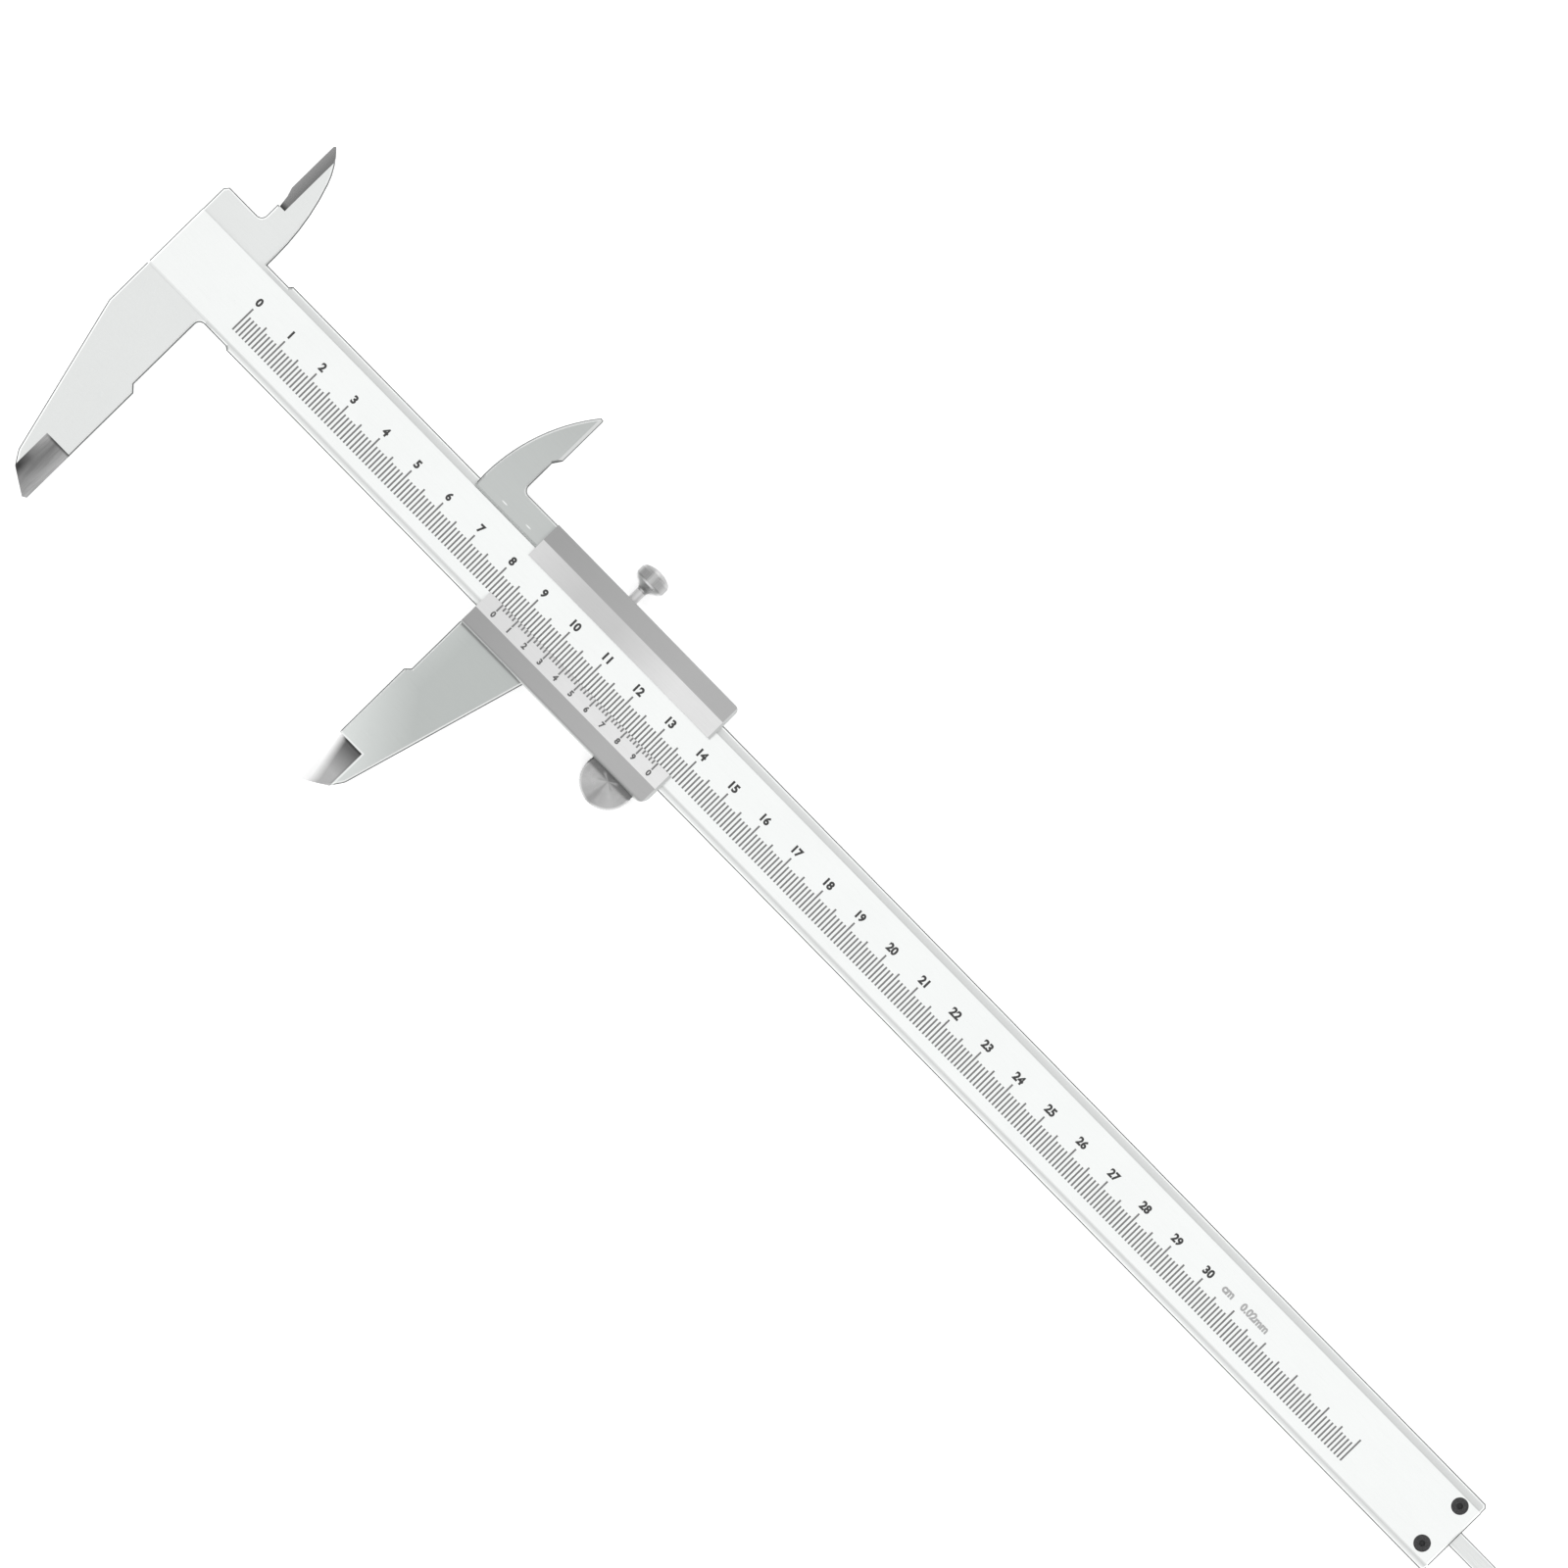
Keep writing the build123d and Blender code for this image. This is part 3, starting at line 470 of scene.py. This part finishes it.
def turned_roller():
    """Face-turned disc with painted reflections (dark wedge, light fields, bright rim), and a
    painted shadow band with a painted highlight cross by the slider.
    """
    s = Shade("turned_roller")
    x, y, _ = middle_of("thumb_roller")
    dx, dy = s.math("SUBTRACT", s.x, x), s.math("SUBTRACT", s.y, y)
    radius, cloud = turned(s, "Z", dx, dy)
    # in radians from the y axis, and the same in all four quarters
    angle = s.math("ARCTAN2", s.math("ABSOLUTE", dx), s.math("ABSOLUTE", dy))
    # painted reflections of the turned face: light fields, a dark wedge and a bright rim
    painted_light_field = s.between(angle, 0.6, 1.15, 0.25)
    painted_dark_wedge = s.ramp(angle, 0.06, 0.28, 0.8, 0.0)
    painted_cross_highlight = s.all(s.between(angle, 0.97, 1.25, 0.1), s.below(radius, 2.2, 0.4))
    colour = s.mottle(grey(0.45), grey(0.38), cloud, 0.35, 0.7, 0.2)
    colour = s.blend(painted_light_field, colour, grey(0.50))
    colour = s.blend(s.above(radius, ROLLER_RIM_RADIUS, 0.12), colour, grey(0.66))
    colour = s.blend(painted_dark_wedge, colour, grey(0.32))
    # painted shadow: ambient occlusion from the slider above darkens a band across the roller
    occlusion = s.tree.nodes.new("ShaderNodeAmbientOcclusion")
    occlusion.inputs["Distance"].default_value = 5.0 * MM
    occlusion.samples = 48
    painted_shadow_band = s.ramp(occlusion.outputs["AO"], 0.79, 0.82, 0.9, 0.0)
    colour = s.blend(painted_shadow_band, colour, grey(0.17))
    colour = s.blend(painted_cross_highlight, colour, grey(0.38))
    return s.finish(colour, s.rough(cloud, 0.26, 0.36))


def turned_lock_screw():
    """Lathe-turned head with painted reflections: a light stripe along its front, a darker band
    on either side, a light neck and a bright cone.
    """
    s = Shade("turned_lock_screw")
    x, _, z = middle_of("lock_screw")
    dx, dz = s.math("SUBTRACT", s.x, x), s.math("SUBTRACT", s.z, z)
    _, cloud = turned(s, "Y", dx, dz)
    colour = s.mottle(grey(0.56), grey(0.48), cloud, 0.35, 0.7, 0.2)
    # painted reflections: a light neck, dark bands on the head and a highlight on the cone
    colour = s.blend(s.below(s.y, CONE_LOW_Y, 0.2), colour, grey(0.62))
    left = s.between(dx, -3.2, -0.8, 0.35)
    right = s.all(s.between(dx, 0.45, 2.7, 0.35), 0.7)
    reflection_bands = s.all(s.either(left, right), s.between(s.y, HEAD_LOW_Y, HEAD_HIGH_Y, 0.5))
    colour = s.blend(reflection_bands, colour, grey(0.345))
    colour = s.blend(s.between(s.y, CONE_LOW_Y, CONE_HIGH_Y, 0.3), colour, grey(0.95))
    return s.finish(colour, s.rough(cloud, 0.26, 0.36))


def black_oxide():
    s = Shade("black_oxide")
    spots = s.noise(4000, detail=4.0)
    colour = s.mottle((0.028, 0.028, 0.029), (0.085, 0.085, 0.088), spots, 0.4, 0.75)
    s.bump(spots, 0.3, 0.01)
    return s.finish(colour, s.rough(spots, 0.38, 0.55), metallic=0.35)


def ink(name, value):
    """Dark filling of the engraved lines, a little uneven."""
    s = Shade(name)
    spots = s.noise(5000, detail=3.0)
    colour = s.mottle(grey(value), grey(value * 1.8), spots, 0.35, 0.7)
    s.bump(spots, 0.3, 0.005)
    return s.finish(colour, 0.6, metallic=0.0)


def paint(material, *nodes):
    """Give CAD nodes their material."""
    for node in nodes:
        slots = frame["nodes"][node].data.materials
        slots.clear()
        slots.append(material)


def nodes_named(*beginnings):
    return [node for node in frame["nodes"] if node.startswith(beginnings)]


paint(satin_beam(), "beam")
paint(ground_slider(), "slider_frame")
paint(brushed("brushed_cover", 0.74), "back_cover")
paint(brushed("brushed_stop", 0.72), "end_stop_plate")
paint(ground_rod(), "depth_rod")
paint(brass(), "gib_strip", "roller_washer")
paint(turned_lock_screw(), "lock_screw")
paint(turned_roller(), "thumb_roller")
paint(black_oxide(), *nodes_named("end_screw"))
paint(brushed("turned_small_steel", 0.62, stretch=(1, 1, 1)), "roller_axle",
      *nodes_named("back_cover_screw", "rod_rivet", "gib_screw"))


# ---------------------------------------------------------------- graduations

INK_HEIGHT = 0.02  # how far the filled marks stand out of their face
BOLD = 0.05  # how much the lettering's strokes are widened, for a letter height of about 1
LINE_WIDTH = 0.42

MAIN_LENGTH = 350  # the last marked millimetre
MAIN_LAST_NUMBER = 30
MAIN_LOW_Y = -6.0
MAIN_TOP_Y = {10: 0.45, 5: -0.35, 1: -1.3}  # for each centimetre, half and millimetre
MAIN_NUMBER_Y, MAIN_NUMBER_HEIGHT = 1.37, 2.1
UNIT_Y = 1.5
UNITS = (("cm", 306.2, 1.5), ("0.02mm", 314.4, 2.0))  # lettering, place and height

VERNIER_DIVISIONS = 50
VERNIER_STEP = 0.98  # 50 divisions over 49 mm
VERNIER_LONG_Y, VERNIER_SHORT_Y = -7.9, -6.9
VERNIER_NUMBER_Y, VERNIER_NUMBER_HEIGHT = -9.6, 1.5


def scale_face(y):
    return SCALE_Z


def vernier_face(y):
    return VERNIER_EDGE_Z + (VERNIER_TOP_Y - y) * VERNIER_RISE


class Marks:
    """Flat marks laid on a face, gathered into one mesh."""

    def __init__(self, surface):
        self.surface = surface
        self.points, self.faces = [], []

    def point(self, x, y, lift):
        self.points.append(world(x, y, self.surface(y) + lift))

    def line(self, x, y_low, y_high):
        """A straight filled line across the scale."""
        first = len(self.points)
        left, right = x - LINE_WIDTH / 2, x + LINE_WIDTH / 2
        for lift in (-INK_HEIGHT / 2, INK_HEIGHT):
            for px, py in ((left, y_low), (right, y_low), (right, y_high), (left, y_high)):
                self.point(px, py, lift)
        bottom, top = (3, 2, 1, 0), (4, 5, 6, 7)
        walls = ((0, 1, 5, 4), (1, 2, 6, 5), (2, 3, 7, 6), (3, 0, 4, 7))
        for quad in (bottom, top, *walls):
            self.faces.append([first + corner for corner in quad])

    def text(self, body, x, y_low, height):
        """Upright lettering of a given height, centred on x and standing on y_low."""
        curve = bpy.data.curves.new("lettering", "FONT")
        curve.body = body
        curve.extrude = 0.5  # gives it a front and a back, which are laid on the face below
        curve.resolution_u = 4
        curve.offset = BOLD
        holder = add_object("lettering", curve)
        graph = bpy.context.evaluated_depsgraph_get()
        letters = bpy.data.meshes.new_from_object(holder.evaluated_get(graph))
        xs = [vertex.co.x for vertex in letters.vertices]
        ys = [vertex.co.y for vertex in letters.vertices]
        size = height / (max(ys) - min(ys))
        middle, base = (min(xs) + max(xs)) / 2, min(ys)
        first = len(self.points)
        for vertex in letters.vertices:
            lift = INK_HEIGHT if vertex.co.z > 0 else -INK_HEIGHT / 2
            self.point(x + (vertex.co.x - middle) * size,
                       y_low + (vertex.co.y - base) * size, lift)
        for face in letters.polygons:
            self.faces.append([first + corner for corner in face.vertices])
        bpy.data.objects.remove(holder)
        bpy.data.curves.remove(curve)
        bpy.data.meshes.remove(letters)

    def make(self, name, body, slot, material):
        mesh = bpy.data.meshes.new(name)
        mesh.from_pydata(self.points, [], self.faces)
        mesh.materials.append(material)
        piece = add_object(name, mesh)
        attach(piece, body)


def main_scale():
    lines = Marks(scale_face)
    for millimetre in range(MAIN_LENGTH + 1):
        top = next(top for step, top in MAIN_TOP_Y.items() if millimetre % step == 0)
        lines.line(millimetre, MAIN_LOW_Y, top)
    lines.make("main_scale_lines", "beam", "beam_steel", ink("line_ink", 0.15))
    numbers = Marks(scale_face)
    for centimetre in range(MAIN_LAST_NUMBER + 1):
        numbers.text(str(centimetre), centimetre * 10, MAIN_NUMBER_Y, MAIN_NUMBER_HEIGHT)
    numbers.make("main_scale_numerals", "beam", "beam_steel", ink("numeral_ink", 0.035))
    units = Marks(scale_face)
    for body, x, height in UNITS:
        units.text(body, x, UNIT_Y, height)
    units.make("main_scale_units", "beam", "beam_steel", ink("unit_ink", 0.34))


def vernier_scale():
    lines, numbers = Marks(vernier_face), Marks(vernier_face)
    for division in range(VERNIER_DIVISIONS + 1):
        x = READING + VERNIER_STEP * division
        numbered = division % 5 == 0
        low = VERNIER_LONG_Y if numbered else VERNIER_SHORT_Y
        lines.line(x, low, VERNIER_TOP_Y - 0.02)
        if numbered:
            digit = str(division // 5 % 10)
            numbers.text(digit, x, VERNIER_NUMBER_Y, VERNIER_NUMBER_HEIGHT)
    lines.make("vernier_lines", "slider", "slider_steel", ink("vernier_ink", 0.17))
    numbers.make("vernier_numerals", "slider", "slider_steel", ink("vernier_numeral_ink", 0.10))


main_scale()
vernier_scale()


# ---------------------------------------------------------------- stage, light and camera

def floor():
    """A plain pale surface just under the caliper, lit a little from within to look white."""
    reach, z = 8.0, -0.05 * MM
    mesh = bpy.data.meshes.new("floor")
    corners = [(-reach, -reach, z), (reach, -reach, z), (reach, reach, z), (-reach, reach, z)]
    mesh.from_pydata(corners, [], [(0, 1, 2, 3)])
    s = Shade("pale_floor")
    s.bump(s.noise(400), 0.05, 0.05)
    s.bsdf.inputs["Emission Color"].default_value = (1.0, 1.0, 1.0, 1.0)
    s.bsdf.inputs["Emission Strength"].default_value = 0.50
    mesh.materials.append(s.finish(grey(0.92), 0.9, metallic=0.0))
    surface = add_object("floor", mesh)


def surroundings():
    """A white studio, with two grey screens that stand beyond the caliper's ends.

    The screens begin where a direction points far enough to either side, and a little upwards.
    """
    white, screen = 0.92, 0.74
    sky = bpy.data.worlds.new("studio")
    bpy.context.scene.world = sky
    sky.use_nodes = True
    tree = sky.node_tree
    coordinates = tree.nodes.new("ShaderNodeTexCoord")
    split = tree.nodes.new("ShaderNodeSeparateXYZ")
    tree.links.new(coordinates.outputs["Generated"], split.inputs[0])
    sideways = tree.nodes.new("ShaderNodeMath")
    sideways.operation = "ABSOLUTE"
    tree.links.new(split.outputs[0], sideways.inputs[0])
    screens = tree.nodes.new("ShaderNodeMath")
    screens.operation = "MULTIPLY"
    spans = ((sideways.outputs[0], 0.70, 0.82), (split.outputs[2], 0.10, 0.22))
    for factor, (direction, low, high) in zip(screens.inputs, spans):
        span = tree.nodes.new("ShaderNodeMapRange")
        tree.links.new(direction, span.inputs[0])
        span.inputs[1].default_value, span.inputs[2].default_value = low, high
        tree.links.new(span.outputs[0], factor)
    shade = tree.nodes.new("ShaderNodeMix")
    shade.data_type = "RGBA"
    tree.links.new(screens.outputs[0], shade.inputs[0])
    shade.inputs[6].default_value = (white, white, white, 1.0)
    shade.inputs[7].default_value = (screen, screen, screen, 1.0)
    tree.links.new(shade.outputs[2], tree.nodes["Background"].inputs[0])


def soft_light(name, place, size, power):
    """A round lamp, given in metres and watts, that shines on the caliper."""
    lamp = bpy.data.lights.new(name, "AREA")
    lamp.shape = "DISK"
    lamp.size = size
    lamp.energy = power
    holder = add_object(name, lamp)
    holder.location = place
    holder.rotation_euler = (-Vector(place)).to_track_quat("-Z", "Y").to_euler()


def camera():
    """Straight down on the graduated face, with the beam running down to the right."""
    turn = math.radians(45.597)
    middle_x, middle_y, field = 157.14, 10.81, 346.7  # what the picture shows, in millimetres
    lens = bpy.data.cameras.new("camera")
    lens.lens = 300.0  # long, so that the view is nearly parallel
    lens.sensor_width = 36.0
    lens.clip_start, lens.clip_end = 0.01, 100.0
    distance = field * lens.lens / lens.sensor_width
    eye = add_object("camera", lens)
    eye.location = world(middle_x, middle_y, SCALE_Z + distance)
    eye.rotation_euler = (0.0, 0.0, turn)
    bpy.context.scene.camera = eye


floor()
surroundings()
soft_light("key_light", (0.15, 0.35, 3.0), 2.4, 3.0)
soft_light("side_light", (-2.6, 1.6, 1.2), 2.0, 1.2)
camera()
bpy.context.scene.view_settings.view_transform = "Standard"
